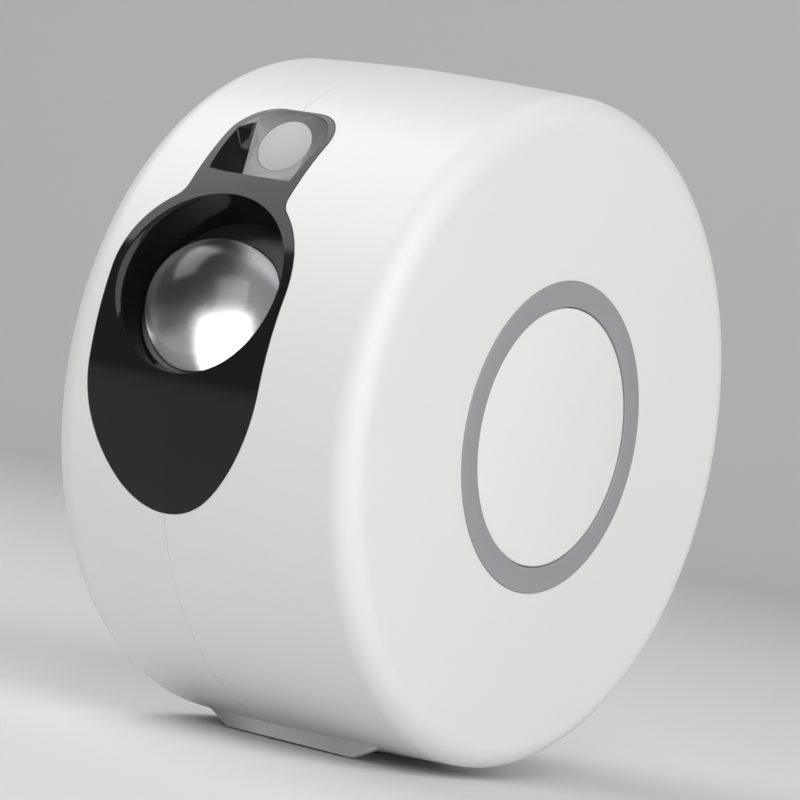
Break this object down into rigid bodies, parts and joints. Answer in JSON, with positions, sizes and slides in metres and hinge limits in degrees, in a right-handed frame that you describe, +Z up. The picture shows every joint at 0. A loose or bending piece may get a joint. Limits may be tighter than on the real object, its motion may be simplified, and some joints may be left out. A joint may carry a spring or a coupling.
{
  "type": "planetarium projector",
  "caption": "Drum-shaped star and nebula projector with a domed lens in a black front panel and a ringed push button.",
  "frame": {"origin": "centre of the resting face under the foot", "axes": "+Z up; the drum's axis lies along X with the round control face at +X; the lens looks towards -Y and a little up"},
  "size_m": [0.0847, 0.1638, 0.1612],
  "materials": {
    "casing_white": "satin",
    "button_white": "satin",
    "ring_grey": "satin",
    "panel_black": "gloss",
    "black_plastic": "matt",
    "clear_glass": "polished",
    "ripple_glass": "rippled",
    "frosted_window": "frosted",
    "grating_film": "etched",
    "rubber_pad": "matt",
    "nylon_white": "natural",
    "steel": "bright",
    "motor_can": "plated",
    "aluminium": "bead blasted",
    "brass": "turned",
    "board_green": "solder resist",
    "led_white": "diffusing",
    "chip_black": "moulded",
    "spring_steel": "drawn"
  },
  "bodies": {
    "case": {"near_shell": "casing_white", "far_shell": "casing_white", "foot_pad": "rubber_pad", "case_screws": "steel", "front_panel": "panel_black", "projection_lens": "clear_glass", "lens_ring": "black_plastic", "lens_tube": "black_plastic", "ripple_plate": "ripple_glass", "optics_chassis": "black_plastic", "chassis_screws": "steel", "nebula_axle": "steel", "nebula_motor": "motor_can", "condenser_lens": "clear_glass", "led_board": "board_green", "led_chips": "led_white", "heat_sink": "aluminium", "heat_sink_screws": "steel", "laser_window": "frosted_window", "laser_holder": "aluminium", "holder_screw": "steel", "laser_module": "brass", "star_motor": "motor_can", "grey_ring": "ring_grey", "button_spring": "spring_steel", "mode_switch": "chip_black", "main_board": "board_green", "board_screws": "steel", "power_inlet": "chip_black", "inlet_pin": "brass", "board_chips": "chip_black"},
    "nebula_wheel": {"nebula_gear": "nylon_white", "nebula_glass": "ripple_glass", "nebula_hub": "nylon_white"},
    "nebula_drive": {"nebula_shaft": "steel", "nebula_pinion": "nylon_white"},
    "star_wheel": {"star_gear": "nylon_white", "star_film": "grating_film"},
    "star_drive": {"star_shaft": "steel", "star_pinion": "nylon_white"},
    "button": {"mode_button": "button_white"},
    "plunger": {"switch_plunger": "nylon_white"}
  },
  "joints": [
    {"name": "nebula_spin", "type": "hinge", "parent": "case", "child": "nebula_wheel", "pos_m": [0.0057, -0.04428, 0.08536], "axis": [0, -0.9135, 0.4067], "continuous": true},
    {"name": "nebula_drive_spin", "type": "hinge", "parent": "case", "child": "nebula_drive", "pos_m": [0.0161, -0.0559, 0.05926], "axis": [0, -0.9135, 0.4067], "continuous": true},
    {"name": "star_spin", "type": "hinge", "parent": "case", "child": "star_wheel", "pos_m": [-0.0083, -0.04341, 0.12972], "axis": [0, -0.8926, 0.4509], "continuous": true},
    {"name": "star_drive_spin", "type": "hinge", "parent": "case", "child": "star_drive", "pos_m": [0.0027, -0.04341, 0.12972], "axis": [0, -0.8926, 0.4509], "continuous": true},
    {"name": "button_press", "type": "slide", "parent": "case", "child": "button", "axis": [-1, 0, 0], "range_m": [0, 0.0006], "stiffness_N_per_m": 900, "springref_m": -0.0005, "deforming": ["button_spring"]},
    {"name": "plunger_press", "type": "slide", "parent": "case", "child": "plunger", "axis": [-1, 0, 0], "range_m": [0, 0.0006]}
  ],
  "couplings": [
    {"joint": "nebula_drive_spin", "follows": "nebula_spin", "ratio": -5.3333},
    {"joint": "star_drive_spin", "follows": "star_spin", "ratio": -1.75},
    {"joint": "plunger_press", "follows": "button_press", "ratio": 1}
  ]
}
